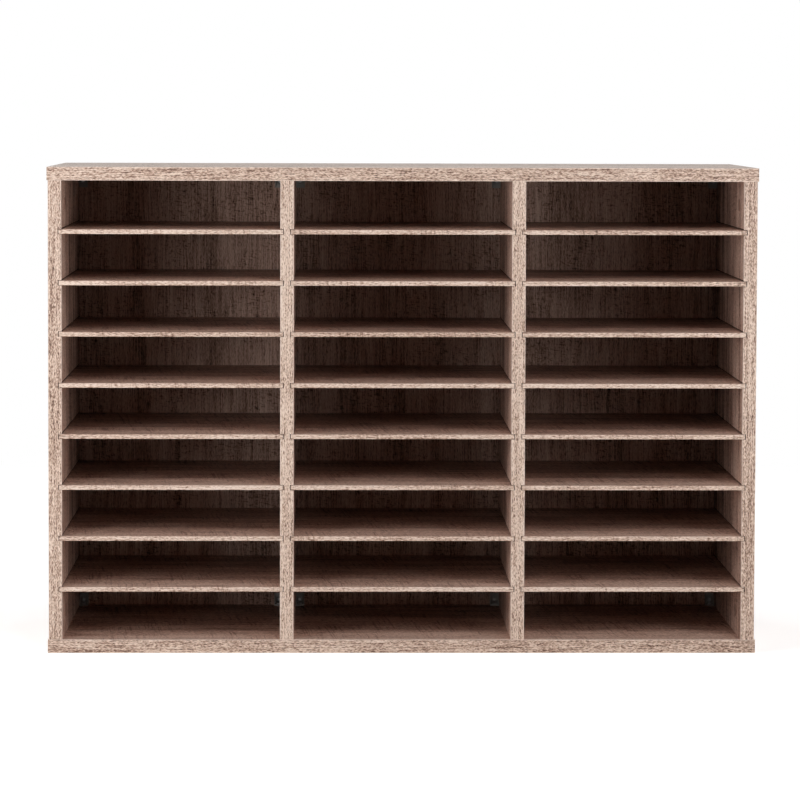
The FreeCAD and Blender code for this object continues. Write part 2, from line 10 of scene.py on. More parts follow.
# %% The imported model
import json
import math

import bpy
import numpy as np
from mathutils import Matrix, Vector


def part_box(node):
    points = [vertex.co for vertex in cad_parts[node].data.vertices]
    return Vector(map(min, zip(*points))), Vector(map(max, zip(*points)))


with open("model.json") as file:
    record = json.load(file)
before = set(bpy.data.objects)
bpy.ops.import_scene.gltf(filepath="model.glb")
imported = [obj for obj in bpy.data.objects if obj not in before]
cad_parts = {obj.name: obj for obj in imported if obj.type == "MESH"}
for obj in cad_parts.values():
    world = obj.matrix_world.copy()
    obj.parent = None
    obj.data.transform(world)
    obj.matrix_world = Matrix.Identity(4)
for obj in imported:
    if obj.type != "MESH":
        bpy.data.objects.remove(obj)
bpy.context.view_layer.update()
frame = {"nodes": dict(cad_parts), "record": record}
nodes = frame["nodes"]

# %% [markdown]
# ## Sizes that the finishes need
#
# A finish has to know where a board ends, because the film covers only its two large faces
# and its edges are bare or banded. Every such size is read from the model's own boxes, so
# the finishes stay right if the model changes. They are kept in millimetres.

# %% Sizes from the frame
MM = 1000


def box_mm(name):
    """Lowest and highest corner of a node, in millimetres."""
    return tuple(np.array(corner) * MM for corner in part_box(name))


UPRIGHTS = ("left_side_panel", "left_divider", "right_divider", "right_side_panel")
upright_low, upright_high = box_mm(UPRIGHTS[0])
first_x = upright_low[0]
board = upright_high[0] - first_x
high_z = upright_high[2]             # underside of the top board
upright_step = box_mm(UPRIGHTS[1])[0][0] - first_x
side_outer = -first_x                # outer face of the right side panel
side_inner = side_outer - board
back_front = box_mm("centre_back_panel")[0][1]
front_y = box_mm("left_side_band")[0][1]
print("boards", round(board, 2), "mm, uprights every", round(upright_step, 2), "mm")

# %% Sizes of the shelves and their grooves
shelf_low, shelf_high = box_mm("centre_shelf_1")
shelf_width = shelf_high[0] - shelf_low[0]
shelf_thickness = shelf_high[2] - shelf_low[2]
shelf_step = box_mm("centre_shelf_2")[0][2] - shelf_low[2]
first_shelf_x = box_mm("left_shelf_1")[0][0]
highest_shelf = box_mm("centre_shelf_8")[1][2]
PLAY_BELOW = 0.3                     # of a shelf in its groove
PLAY_ABOVE = 0.7
groove_low = shelf_low[2] - PLAY_BELOW
groove_width = shelf_thickness + PLAY_BELOW + PLAY_ABOVE
print("shelves every", round(shelf_step, 2), "mm, grooves", round(groove_width, 2), "mm wide")

# %% [markdown]
# ## Camera
#
# The camera stands four metres off, a little to the left of the middle and just higher than
# the sorter's top, so it looks almost level into the compartments. A long lens keeps the
# uprights parallel. The lens's axis isn't in the middle of the picture, as in any picture
# that was cropped, and a lens shift gives the same framing.

# %% Camera
PICTURE = 800                        # pixels, each way
CAMERA_PLACE = Vector((-0.1044, -4.2798, 0.7693))
CAMERA_TURN = math.radians(0.821)    # to the right
CAMERA_TILT = math.radians(-2.783)   # down
CAMERA_ROLL = math.radians(0.148)
FOCAL_LENGTH = 2948.4                # in pixels
AXIS_PIXEL = (370.9, 250.5)          # where the lens's axis meets the picture
SENSOR = 36                          # mm


def camera_axes(turn, tilt, roll):
    """Right, up and forward of a camera that looks along +Y, turned, tilted and then rolled."""
    forward = Vector((math.sin(turn) * math.cos(tilt), math.cos(turn) * math.cos(tilt),
                      math.sin(tilt)))
    level = Vector((math.cos(turn), -math.sin(turn), 0))
    right = level * math.cos(roll) + level.cross(forward) * math.sin(roll)
    return right, right.cross(forward), forward


right, up, forward = camera_axes(CAMERA_TURN, CAMERA_TILT, CAMERA_ROLL)
lens = bpy.data.cameras.new("camera")
lens.sensor_width = SENSOR
lens.lens = FOCAL_LENGTH / PICTURE * SENSOR
lens.shift_x = (PICTURE / 2 - AXIS_PIXEL[0]) / PICTURE
lens.shift_y = (AXIS_PIXEL[1] - PICTURE / 2) / PICTURE
camera = bpy.data.objects.new("camera", lens)
camera.matrix_world = Matrix.Translation(CAMERA_PLACE) @ Matrix(
    (right, up, -forward)).transposed().to_4x4()
bpy.context.scene.collection.objects.link(camera)
bpy.context.scene.camera = camera
bpy.context.scene.view_settings.view_transform = "Standard"
print("lens", round(lens.lens, 1), "mm, shift", round(lens.shift_x, 3), round(lens.shift_y, 3))

# %% [markdown]
# ## Writing shader maths as Python
#
# A procedural finish is a sum of many simple patterns. Placing and linking nodes by hand
# hides that sum, so `Number` wraps a socket and lets ordinary operators add the Math nodes.
# The reflected operators make `1 - mask` work too.

# %% A socket that can be calculated with
class Number:
    """An output socket of a tree of nodes that takes part in arithmetic."""

    def __init__(self, owner, socket):
        self.owner = owner
        self.socket = socket

    def math(self, operation, *others):
        inputs = dict(enumerate((self, *others)))
        return self.owner.node("ShaderNodeMath", {"operation": operation}, inputs)

    def __add__(self, other):
        return self.math("ADD", other)

    __radd__ = __add__

    def __mul__(self, other):
        return self.math("MULTIPLY", other)

    __rmul__ = __mul__

    def __sub__(self, other):
        return self.math("SUBTRACT", other)

    def __rsub__(self, other):
        return self * -1 + other

    def __truediv__(self, other):
        return self.math("DIVIDE", other)

    def __mod__(self, other):
        return self.math("FLOORED_MODULO", other)

    def __abs__(self):
        return self.math("ABSOLUTE")

    def ramp(self, low, high):
        """0 below low and 1 above high, with a smooth step between them."""
        settings = {"interpolation_type": "SMOOTHSTEP"}
        sockets = {"Value": self, "From Min": low, "From Max": high}
        return self.owner.node("ShaderNodeMapRange", settings, sockets)

    def between(self, low, high, soft):
        """1 from low to high and 0 outside, with edges that are twice soft wide."""
        return self.ramp(low - soft, low + soft) * (1 - self.ramp(high - soft, high + soft))


print("a Number has the operators + - * / % and abs")

# %% [markdown]
# ## One method for every other node
#
# A node needs three things: its type, its settings and what goes into its sockets. One method
# takes them in that order, because some settings change which sockets a node has. The world
# and the finishes both use it.

# %% Nodes of a tree
class Nodes:
    """The tree of nodes of a world or a material, emptied."""

    def __init__(self, owner):
        owner.use_nodes = True
        self.tree = owner.node_tree
        self.tree.nodes.clear()

    def node(self, kind, settings=None, sockets=None, output=0):
        """Chosen output of a new node, or none. A ramp's stops are (place, colour) pairs."""
        node = self.tree.nodes.new(kind)
        for name, value in (settings or {}).items():
            if name == "stops":
                self.set_stops(node.color_ramp.elements, value)
            else:
                setattr(node, name, value)
        for name, value in (sockets or {}).items():
            if isinstance(value, Number):
                self.tree.links.new(value.socket, node.inputs[name])
            else:
                node.inputs[name].default_value = value
        return None if output is None else Number(self, node.outputs[output])

    @staticmethod
    def set_stops(elements, stops):
        while len(elements) < len(stops):
            elements.new(1)
        for element, (place, colour) in zip(elements, stops):
            element.position = place
            element.color = colour


print("one method makes every node")

# %% [markdown]
# ## What a finish is
#
# Each material is a `Finish`. It reads Object coordinates, so a pattern stays on its board
# when the board moves, and it counts them in millimetres, because that is how a board maker
# would give the size of a fibre. On the sorter it ends in a Principled surface. Bare places,
# and the painted shade along the grooves and in the notches, have no gloss at all, so a mask
# can mix in a second one that is fully matt.

# %% A colour as it looks on a screen
def srgb(*levels):
    """Linear colour of three display levels from 0 to 255."""
    share = np.array(levels) / 255
    linear = np.where(share <= 0.04045, share / 12.92, ((share + 0.055) / 1.055) ** 2.4)
    return (*linear.tolist(), 1)


print("half grey on a screen is", round(srgb(128, 128, 128)[0], 3), "of white light")

# %% A finish that makes its own nodes
class Finish(Nodes):
    """A surface's material. x, y and z are the place on it in millimetres."""

    def __init__(self, name):
        self.material = bpy.data.materials.new(name)
        super().__init__(self.material)
        place = self.node("ShaderNodeTexCoord", output="Object")
        scaled = self.node("ShaderNodeVectorMath", {"operation": "SCALE"},
                           {"Vector": place, "Scale": MM})
        self.x, self.y, self.z = (self.node("ShaderNodeSeparateXYZ", {}, {"Vector": scaled}, axis)
                                  for axis in "XYZ")

    def noise(self, first, second, third, detail=2.0, roughness=0.5):
        """Soft noise from 0 to 1 over three numbers, each counted in cells."""
        cell = self.node("ShaderNodeCombineXYZ", {}, {"X": first, "Y": second, "Z": third})
        sockets = {"Vector": cell, "Scale": 1.0, "Detail": detail, "Roughness": roughness}
        return self.node("ShaderNodeTexNoise", {}, sockets)

    def mix(self, share, first, second):
        """Colour between two colours."""
        sockets = {0: share, 6: first, 7: second}
        return self.node("ShaderNodeMix", {"data_type": "RGBA"}, sockets, 2)

    def colours(self, value, stops):
        return self.node("ShaderNodeValToRGB", {"stops": stops}, {"Fac": value})

    def finished(self, base, roughness, height, relief, specular=0.5, metallic=0.0, matt=None):
        """The material. Relief is in millimetres, for a height that goes from 0 to 1.

        Where the mask matt is 1, the surface has no gloss at all."""
        normal = self.node("ShaderNodeBump", {},
                           {"Strength": 1.0, "Distance": relief / MM, "Height": height})
        surface = self.node("ShaderNodeBsdfPrincipled", {}, {
            "Base Color": base, "Roughness": roughness, "Normal": normal,
            "Metallic": metallic, "Specular IOR Level": specular})
        if matt is not None:
            bare = self.node("ShaderNodeBsdfPrincipled", {}, {
                "Base Color": base, "Roughness": 1.0, "Normal": normal, "Specular IOR Level": 0.0})
            surface = self.node("ShaderNodeMixShader", {}, {0: matt, 1: surface, 2: bare})
        self.node("ShaderNodeOutputMaterial", {}, {"Surface": surface}, None)
        return self.material


print("a Finish makes nodes, noise, mixes and ramps of colours")

# %% [markdown]
# ## The printed oak
#
# The film is a print of rough-sawn oak. Its picture has six layers, and each one is a noise
# that is stretched along the grain or across it:
#
# - tone: broad soft stripes, as in boards glued up from several planks
# - fibre: long fine lines along the grain
# - dashes: light and dark strokes a few millimetres long
# - pores: a few darker strokes
# - saw marks: thin dark ticks across the grain, in patches, where the blade bit
# - cracks: a few long thin dark lines
#
# `along` runs with the grain. `across` is the sum of the two other directions, so that the
# picture wraps round a board's edge as film does, and `layer` changes from board to board.

# %% How strong the layers are
class Grain:
    """How strongly one kind of board shows each layer, from 0, and how large its marks are."""

    def __init__(self, tone=0.6, fibre=0.6, dash=1.0, pores=0.3, saw=0.8, cracks=0.6,
                 wander=4.0, saw_length=80.0, stripe=26.0, dash_length=5.0):
        self.tone = tone
        self.fibre = fibre
        self.dash = dash
        self.pores = pores
        self.saw = saw
        self.cracks = cracks
        self.wander = wander            # mm
        self.saw_length = saw_length    # mm
        self.stripe = stripe            # width of a stripe of the tone, mm
        self.dash_length = dash_length  # mm


print("a Grain holds a strength for each layer, and the sizes of its marks")

# %% The oak's picture
PLAIN_WOOD = 0.62          # brightness where no layer adds or takes anything


def oak_value(finish, along, across, layer, grain):
    """Brightness of the print, about 0 in a crack and 1 in the palest wood.

    It is the plain wood, plus tone, fibres and dashes, minus pores, saw marks and cracks. The
    lines across the grain first bend over long stretches and wiggle over short ones."""
    bend = finish.noise(along / 55, across / 30, layer / 23, detail=2) - 0.5
    wiggle = finish.noise(along / 7, across / 5, layer / 5, detail=1) - 0.5
    line = across + bend * grain.wander * 2 + wiggle * 1.6
    tone = finish.noise(along / grain.stripe / 15, line / grain.stripe, layer / 31,
                        detail=4, roughness=0.65) - 0.5
    fibre = finish.noise(along / 60, line / 1.5, layer / 5, detail=2, roughness=0.6) - 0.5
    dash = finish.noise(along / grain.dash_length, line / 1.2, layer / 6, detail=1,
                        roughness=0.6) - 0.5
    pores = finish.noise(along / 7, line / 1.3, layer / 7 + 4, detail=0)
    slant = along + across * 0.12 + bend * 6
    saw = finish.noise(slant / 2.4, across / grain.saw_length, layer / 11, detail=1)
    saw = saw.ramp(0.5, 0.7)
    patch = finish.noise(along / 60, across / 60, layer / 29 + 5, detail=1).ramp(0.4, 0.6)
    crack = abs(finish.noise(along / 90, line / 8, layer / 13 + 9, detail=1) - 0.5)
    rare = finish.noise(along / 60, line / 18, layer / 19 + 3, detail=1).ramp(0.58, 0.68)
    value = (PLAIN_WOOD + tone * grain.tone * 2 + fibre * grain.fibre * 2
             + dash * grain.dash * 2 - pores.ramp(0.6, 0.75) * grain.pores)
    return (value - saw * patch * grain.saw * 0.4
            - (1 - crack.ramp(0.004, 0.02)) * rare * grain.cracks * 0.6)


print("the print has tone, fibres, dashes, pores, saw marks and cracks")

# %% [markdown]
# ## Bare chipboard and fibreboard
#
# Where the boards are cut, their inside shows. Chipboard is pressed from tan and brown flakes
# a millimetre or two long. Noise alone would look like sand, so the flakes are Voronoi cells,
# each with a colour of its own.

# %% Chipboard
CHIP_COLOURS = ((0.0, srgb(132, 100, 68)), (0.45, srgb(178, 145, 104)), (1.0, srgb(214, 188, 150)))
FLAKE = 1.6                # mm


def chipboard(finish):
    """Colour of bare chipboard, and its height."""
    cell = finish.node("ShaderNodeCombineXYZ", {}, {
        "X": finish.x / FLAKE, "Y": finish.y / FLAKE, "Z": finish.z / FLAKE})
    tint = finish.node("ShaderNodeTexVoronoi", {"feature": "F1"},
                       {"Vector": cell, "Scale": 1.0, "Randomness": 1.0}, "Color")
    pick = finish.node("ShaderNodeSeparateXYZ", {}, {"Vector": tint}, "X")
    soft = finish.noise(finish.x / FLAKE / 2, finish.y / FLAKE / 2, finish.z / FLAKE / 2)
    value = pick * 0.6 + soft * 0.4
    return finish.colours(value, CHIP_COLOURS), value


print("chipboard flakes are", FLAKE, "mm")

# %% [markdown]
# The thin boards are fibreboard, which is finer. The rears of the back panels are bare over a
# large area, so it needs three scales: fine fibres, strands a few millimetres long, and soft
# clouds where the pulp was thicker when the board was pressed.

# %% Fibreboard
FIBRE_COLOURS = ((0.0, srgb(108, 82, 60)), (0.5, srgb(156, 127, 99)), (1.0, srgb(192, 164, 132)))


def fibreboard(finish):
    """Colour of bare fibreboard, and its height."""
    fine = finish.noise(finish.x / 0.7, finish.y / 0.7, finish.z / 0.7, detail=3, roughness=0.7)
    strands = finish.noise(finish.x / 5, finish.y / 2, finish.z / 2.5, detail=2, roughness=0.6)
    clouds = finish.noise(finish.x / 60, finish.y / 60, finish.z / 85, detail=3)
    value = 0.5 + (fine - 0.5) * 0.6 + (strands - 0.5) * 1.2 + (clouds - 0.5) * 0.35
    return finish.colours(value, FIBRE_COLOURS), value


print("fibreboard has fine fibres, strands and clouds")

# %% [markdown]
# ## What all boards share
#
# Each kind of board gets one material. The grain runs along a board's long side: across the
# sorter in the cross boards and shelves, and upwards in the uprights and back panels. A mask
# in the board's own thickness tells film from bare board. The film has a soft gloss, and is
# a little rougher where its wood is dark.

# %% Colours, gloss and relief
BOARD_COLOURS = ((0.0, srgb(66, 47, 39)), (0.3, srgb(136, 102, 87)),
                 (0.62, srgb(184, 146, 128)), (1.0, srgb(230, 201, 185)))
# painted shade for the grooves, the film above them, the shelves' ends and the bands' notches
GROOVE_SHADE_COLOUR = srgb(30, 21, 17)
FILM_ROUGHNESS = 0.42
FILM_SPECULAR = 0.5
FILM_DEPTH = 0.3           # mm below a board's face, where the bare inside starts
SHARP = 0.1                # mm, half the width of a mask's edge
RELIEF = 0.12              # mm, of the print's picture


def gloss(value, roughness=FILM_ROUGHNESS):
    """Roughness of a print, a little higher where its wood is dark."""
    return (0.5 - value) * 0.2 + roughness


def bare_inside(depth, thickness):
    """1 inside a board, and 0 in the film on its two faces."""
    return depth.between(FILM_DEPTH, thickness - FILM_DEPTH, SHARP)


def printed(finish, value, print_colour, bare, film, specular=FILM_SPECULAR,
            roughness=FILM_ROUGHNESS):
    """Material of the print where film is 1, and of bare board where it is 0."""
    colour, height = bare
    base = finish.mix(film, colour, print_colour)
    dull = 1 - film
    return finish.finished(base, gloss(value, roughness), value * film + height * dull, RELIEF,
                           specular, matt=dull)


print("film roughness", FILM_ROUGHNESS, "and relief", RELIEF, "mm")

# %% [markdown]
# ## Painted light and shade
#
# The film is painted lighter near the front of the compartments and darker towards the back:
# painted light and painted shade. The light reaches furthest along the uprights. The change is
# added to the print's brightness before the colours are picked, so it changes the hue as well.

# %% Bleaching
PAINTED_FRONT_LIGHT = 0.3            # painted light, added to the print's brightness at the front
PAINTED_BACK_SHADE = 0.15          # painted shade, taken from it at the back
PAINTED_SHADE_DEPTHS = (50, 220)   # mm behind the front, where the shade starts and is full


def painted_light_by_depth(finish, indoors, reach=80):
    """Painted light and shade for the brightness indoors. The light fades out over reach, in mm.
    """
    shade = finish.y.ramp(front_y + PAINTED_SHADE_DEPTHS[0], front_y + PAINTED_SHADE_DEPTHS[1])
    return indoors * (PAINTED_FRONT_LIGHT - finish.y.ramp(front_y, front_y + reach) * PAINTED_FRONT_LIGHT
                      - shade * PAINTED_BACK_SHADE)


# the painted light at the front and the painted shade at the back
print("bleaching goes from", PAINTED_FRONT_LIGHT, "in front to", -PAINTED_BACK_SHADE, "at the back")

# %% [markdown]
# ## The two cross boards
#
# The top and bottom boards have film on both faces and bare chipboard on the rear edge. Their
# outsides are mixed evenly with grey, a painted sheen. Their film has a little less gloss than
# the other boards'.

# %% Finish of the cross boards
SHEEN_GREY_COLOUR = srgb(178, 170, 157)
SHEEN_GREY_SHARE = 0.4
WORN_SPECULAR = 0.35


def cross_board_finish():
    """Grain across the sorter. Both boards' thickness is measured from their lower faces."""
    finish = Finish("oak_print_cross_board")
    value = oak_value(finish, finish.x, finish.y + finish.z, finish.z, Grain())
    film = 1 - bare_inside(finish.z % high_z, board)
    indoors = finish.z.between(board / 2, high_z + board / 2, 1)
    value = value + painted_light_by_depth(finish, indoors)
    # painted sheen: the outsides are mixed evenly with grey
    colour = finish.mix((1 - indoors) * SHEEN_GREY_SHARE, finish.colours(value, BOARD_COLOURS),
                        SHEEN_GREY_COLOUR)
    return printed(finish, value, colour, chipboard(finish), film, WORN_SPECULAR)


board_finish = {"cross": cross_board_finish()}
print("made", board_finish["cross"].name)

# %% [markdown]
# ## The uprights
#
# The grooves are sawn through the film. Their insides are painted nearly black as shade, and
# a ragged dark line of painted shade runs along the film above each one, where the gap over
# a shelf lies in shadow. The grooves repeat with the shelves, so one remainder of the height
# finds all of them.

# %% Where the grooves are
def along_grooves(finish, low, high):
    """1 where a place is from low to high mm above the lower edge of any groove."""
    rise = (finish.z - groove_low) % shelf_step
    rows = finish.z.between(groove_low - 1, highest_shelf + 3, SHARP)
    return rise.between(low, high, SHARP) * rows


print("the lowest groove starts at z =", round(groove_low, 2), "mm")

# %% [markdown]
# The uprights show strong stripes indoors and calmer ones on the outsides. The right side
# panel was cut across darker heartwood, which shows as a stripe just behind its front edge.

# %% Finish of the uprights
UPRIGHT_GRAIN = Grain(tone=1.3, fibre=1.0, dash=0.9, saw=0.5, stripe=20.0)
OUTSIDE_CONTRAST = 0.7     # of the print, against 1 indoors
MIDDLE = 0.6               # brightness that keeps its place when the contrast falls
HEARTWOOD_DEPTHS = (12, 45)    # mm behind the front
HEARTWOOD_SHADE = 0.2
UPRIGHT_PAINTED_LIGHT_REACH = 200        # mm that the painted light reaches


def heartwood(finish):
    """1 in the dark stripe of the right side panel."""
    panel = finish.x.ramp(side_inner - 3, side_inner - 1)
    start, end = HEARTWOOD_DEPTHS
    return panel * finish.y.between(front_y + start, front_y + end, 10)


def upright_finish():
    """Grain upwards. Film lies on the two large faces, and the grooves get painted shade."""
    finish = Finish("oak_print_upright")
    value = oak_value(finish, finish.z, finish.y + finish.x, finish.x, UPRIGHT_GRAIN)
    film = 1 - bare_inside((finish.x - first_x) % upright_step, board)
    middle_x = side_outer - board / 2
    indoors = 1 - abs(finish.x).ramp(middle_x, middle_x + 1)
    ragged = finish.noise(finish.x / 3, finish.y / 3, finish.z / 3, detail=3) * 0.8 + 0.7
    # painted shade along each groove and a ragged line of film above it
    edge = along_grooves(finish, 0, ragged + groove_width) * indoors * film
    # bare faces in front of the back panel, mostly the grooves' insides, which get painted shade
    sawn = (1 - film) * (1 - finish.y.ramp(back_front - 0.4, back_front - 0.2))
    colour, height = chipboard(finish)
    colour = finish.mix(sawn * 0.95, colour, GROOVE_SHADE_COLOUR)
    value = (value - MIDDLE) * (OUTSIDE_CONTRAST + indoors * (1 - OUTSIDE_CONTRAST)) + MIDDLE
    value = value + painted_light_by_depth(finish, indoors, UPRIGHT_PAINTED_LIGHT_REACH) - heartwood(finish) * HEARTWOOD_SHADE
    base = finish.mix(film, colour, finish.colours(value, BOARD_COLOURS))
    base = finish.mix(edge * 0.9, base, GROOVE_SHADE_COLOUR)
    return finish.finished(base, gloss(value), value * film + height * (1 - film), RELIEF,
                           FILM_SPECULAR, matt=1 - film * (1 - edge))


board_finish["upright"] = upright_finish()
print("made", board_finish["upright"].name)

# %% [markdown]
# ## The shelves
#
# A shelf is thin fibreboard with film above and below. Its front edge has the bands' paler
# print. Its bare ends, which run in the grooves, get painted shade. All 24 shelves share one
# material, because its pattern changes with the place in the sorter.

# %% Finish of the shelves
BAND_COLOURS = ((0.0, srgb(98, 71, 57)), (0.3, srgb(160, 129, 112)),
                (0.62, srgb(206, 178, 160)), (1.0, srgb(234, 213, 198)))
FRONT_FILM = (0.9, 1.3)    # mm behind a shelf's front edge, where its front film ends
FRONT_PALER = 0.12
SHELF_RELIEF = 0.1         # mm


def shelf_finish():
    """Grain across. A paler film covers the front edge, and the ends and rear are bare."""
    finish = Finish("oak_print_shelf")
    value = oak_value(finish, finish.x, finish.y + finish.z, finish.z / 3, Grain())
    inside = bare_inside((finish.z - shelf_low[2]) % shelf_step, shelf_thickness)
    ends = 1 - bare_inside((finish.x - first_shelf_x) % upright_step, shelf_width)
    front = 1 - finish.y.ramp(shelf_low[1] + FRONT_FILM[0], shelf_low[1] + FRONT_FILM[1])
    film = 1 - inside * (1 - front)
    colour, height = fibreboard(finish)
    # painted shade on the shelves' bare ends, which sit in the grooves
    colour = finish.mix(ends * 0.8, colour, GROOVE_SHADE_COLOUR)
    sides = finish.mix(film, colour, finish.colours(value + painted_light_by_depth(finish, 1), BOARD_COLOURS))
    base = finish.mix(front, sides, finish.colours(value + FRONT_PALER, BAND_COLOURS))
    return finish.finished(base, gloss(value), value * film + height * (1 - film), SHELF_RELIEF,
                           FILM_SPECULAR, matt=1 - film)


board_finish["shelf"] = shelf_finish()
print("made", board_finish["shelf"].name)

# %% [markdown]
# ## The back panels
#
# The back panels are fibreboard with a printed paper on the front, which is duller than film.
# Its saw marks are short, and its colours are a little paler.

# %% Finish of the back panels
BACK_COLOURS = ((0.0, srgb(74, 57, 49)), (0.3, srgb(146, 117, 103)),
                (0.62, srgb(202, 169, 152)), (1.0, srgb(230, 206, 192)))
BACK_GRAIN = Grain(tone=0.6, fibre=0.7, dash=0.5, pores=0.2, saw=0.8, cracks=0.4, wander=2.0,
                   saw_length=9.0)
PAPER_ROUGHNESS = 0.7
PAPER_SPECULAR = 0.2


def back_panel_finish():
    """Grain upwards. The front face is printed, and the rear face is bare fibreboard."""
    finish = Finish("oak_print_back_panel")
    value = oak_value(finish, finish.z, finish.x, finish.y, BACK_GRAIN)
    film = 1 - finish.y.ramp(back_front + 0.2, back_front + 0.4)
    return printed(finish, value, finish.colours(value, BACK_COLOURS), fibreboard(finish), film,
                   PAPER_SPECULAR, PAPER_ROUGHNESS)


board_finish["back"] = back_panel_finish()
print("made", board_finish["back"].name)

# %% [markdown]
# ## Edge bands
#
# The bands are a millimetre of plastic with a paler print and stronger dashes. Trimming cuts
# through the print along both edges, and the thin pale line there is also a painted highlight
# of the rounded edges. Painted shade darkens the bands towards the outer sides, so the
# dividers' bands are a little paler than the side panels'. The notches get painted shade.

# %% Finishes of the bands
BAND_GRAIN = Grain(tone=0.3, fibre=0.8, dash=1.1, pores=0.4, saw=0.0, cracks=0.1, wander=2.0,
                   dash_length=3.5)
BAND_DARKER = 0.06
UPRIGHT_PALER = 0.18       # of the dividers' bands
SIDE_BAND_SHADE = 0.16         # painted shade of the side panels' bands, against the dividers'
BAND_RELIEF = 0.15         # mm
# a pale trim line that is also a painted highlight of the rounded edge
TRIM_AND_HIGHLIGHT_COLOUR = srgb(240, 221, 209)
TRIM_AND_HIGHLIGHT_WIDTH = 0.8           # mm
TRIM_AND_HIGHLIGHT_SOFT = 0.3


def band_finish(name, axis):
    """Band printed along an axis, its pale trim a painted highlight, its notches painted shade."""
    finish = Finish(name)
    directions = {"x": finish.x, "y": finish.y, "z": finish.z}
    along = directions.pop(axis)
    first, second = directions.values()
    value = oak_value(finish, along, first + second, first / 3, BAND_GRAIN) - BAND_DARKER
    if axis == "z":
        # painted shade: the bands darken towards the outer sides
        outwards = abs(finish.x).ramp(side_outer / 2, side_outer * 0.9)
        value = value + UPRIGHT_PALER - outwards * SIDE_BAND_SHADE
        width = (finish.x - first_x) % upright_step
    else:
        width = finish.z % high_z
    trim_and_highlight = 1 - width.between(TRIM_AND_HIGHLIGHT_WIDTH, board - TRIM_AND_HIGHLIGHT_WIDTH, TRIM_AND_HIGHLIGHT_SOFT)
    base = finish.mix(trim_and_highlight * 0.6, finish.colours(value, BAND_COLOURS), TRIM_AND_HIGHLIGHT_COLOUR)
    # painted shade in the band's notches, where the grooves run out
    notch = along_grooves(finish, 0, groove_width) * finish.y.ramp(front_y + 0.1, front_y + 0.3)
    base = finish.mix(notch, base, GROOVE_SHADE_COLOUR)
    return finish.finished(base, gloss(value), value, BAND_RELIEF, FILM_SPECULAR, matt=notch)


band_finishes = {"upright": band_finish("oak_band_upright", "z"),
                 "cross": band_finish("oak_band_cross", "x"),
                 "end": band_finish("oak_band_end", "y")}
print(len(band_finishes), "finishes of bands")

# %% [markdown]
# ## Fixings
#
# The brackets are moulded in pale grey plastic. The screws and bolts are zinc-plated steel,
# the cams are cast zinc, the caps carry the boards' colour and the dowels are bare beech. All
# are small and even, so one function speckles two tones with grains of the right size.

# %% Finishes of the fixings
def speckled(name, dark, light, grain_size, roughness, relief, metallic=0.0):
    """Even material in two tones, with a fine grain. Its sizes are in millimetres."""
    finish = Finish(name)
    value = finish.noise(finish.x / grain_size, finish.y / grain_size, finish.z / grain_size,
                         detail=3, roughness=0.6)
    wear = finish.noise(finish.x / 9, finish.y / 9, finish.z / 9)
    base = finish.mix(value * 0.6 + wear * 0.4, dark, light)
    return finish.finished(base, (value - 0.5) * 0.2 + roughness, value, relief,
                           metallic=metallic)


fixing_finish = {
    "bracket_plastic": speckled("grey_moulded_plastic", srgb(158, 160, 157), srgb(186, 187, 184),
                                grain_size=0.5, roughness=0.5, relief=0.03),
    "screw_steel": speckled("plated_screw", srgb(160, 160, 162), srgb(205, 205, 204),
                            grain_size=0.3, roughness=0.3, relief=0.01, metallic=1.0),
    "cam_zinc": speckled("cast_zinc", srgb(140, 142, 145), srgb(180, 181, 183),
                         grain_size=0.6, roughness=0.45, relief=0.03, metallic=1.0),
    "bolt_steel": speckled("plated_bolt", srgb(165, 163, 158), srgb(200, 198, 190),
                           grain_size=0.3, roughness=0.35, relief=0.01, metallic=1.0),
    "cover_plastic": speckled("cap_plastic", srgb(150, 118, 103), srgb(176, 144, 128),
                              grain_size=0.8, roughness=0.5, relief=0.03),
    "dowel_beech": speckled("beech", srgb(190, 152, 108), srgb(222, 190, 146),
                            grain_size=0.8, roughness=0.7, relief=0.05)}
print(len(fixing_finish), "finishes of fixings")

# %% [markdown]
# ## Which piece gets which finish
#
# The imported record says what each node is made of, and a node's name tells the rest, so one
# function sorts all of them.

# %% Finish of each node
def finish_of(name):
    slot_name = next(part["material_slot"] for part in frame["record"]["subparts"]
                     if part["node"] == name)
    if slot_name in fixing_finish:
        return fixing_finish[slot_name]
    if slot_name == "edge_band":
        kind = "upright" if name.startswith(("left", "right")) else "cross"
        return band_finishes["end" if "end_band" in name else kind]
    if slot_name == "carcass_board":
        return board_finish["upright" if name in UPRIGHTS else "cross"]
    return board_finish["shelf" if slot_name == "shelf_board" else "back"]


for name, node in nodes.items():
    for place in node.material_slots:
        place.material = finish_of(name)
print("finished", len(nodes), "nodes")

# %% [markdown]
# ## The studio
#
# The room looks white but gives hardly any light, because light from all sides would fill
# the compartments and flatten them. Light Path nodes tell apart what looks at the room: the
# camera, reflections and rays through clear things see white, and all else gets dim light.

# %% World
AMBIENT = 0.006


def make_world():
    """White where it is looked at, and dim as a source of light."""
    world = bpy.data.worlds.new("studio")
    nodes = Nodes(world)
    seen, glossy, through = (nodes.node("ShaderNodeLightPath", output=f"Is {kind} Ray")
                             for kind in ("Camera", "Glossy", "Transmission"))
    seen = seen.math("MAXIMUM", glossy).math("MAXIMUM", through)
    background = nodes.node("ShaderNodeBackground", {}, {
        "Color": (1, 1, 1, 1), "Strength": seen * (1 - AMBIENT) + AMBIENT})
    nodes.node("ShaderNodeOutputWorld", {}, {"Surface": background}, None)
    bpy.context.scene.world = world


make_world()
print("room light", AMBIENT)

# %% [markdown]
# ## Lamps
#
# Light decides how deep the compartments look. Two lamps hang overhead: their light falls
# steeply, so it reaches only the front part of each shelf. Six more stand in front, three at
# the left and three at the right, from close by to far off. Their light comes in nearly level
# between the shelves, and reaches the far part of each back panel, because the upright nearer
# to the lamp shades the rest. The last two stand behind, for the rear.

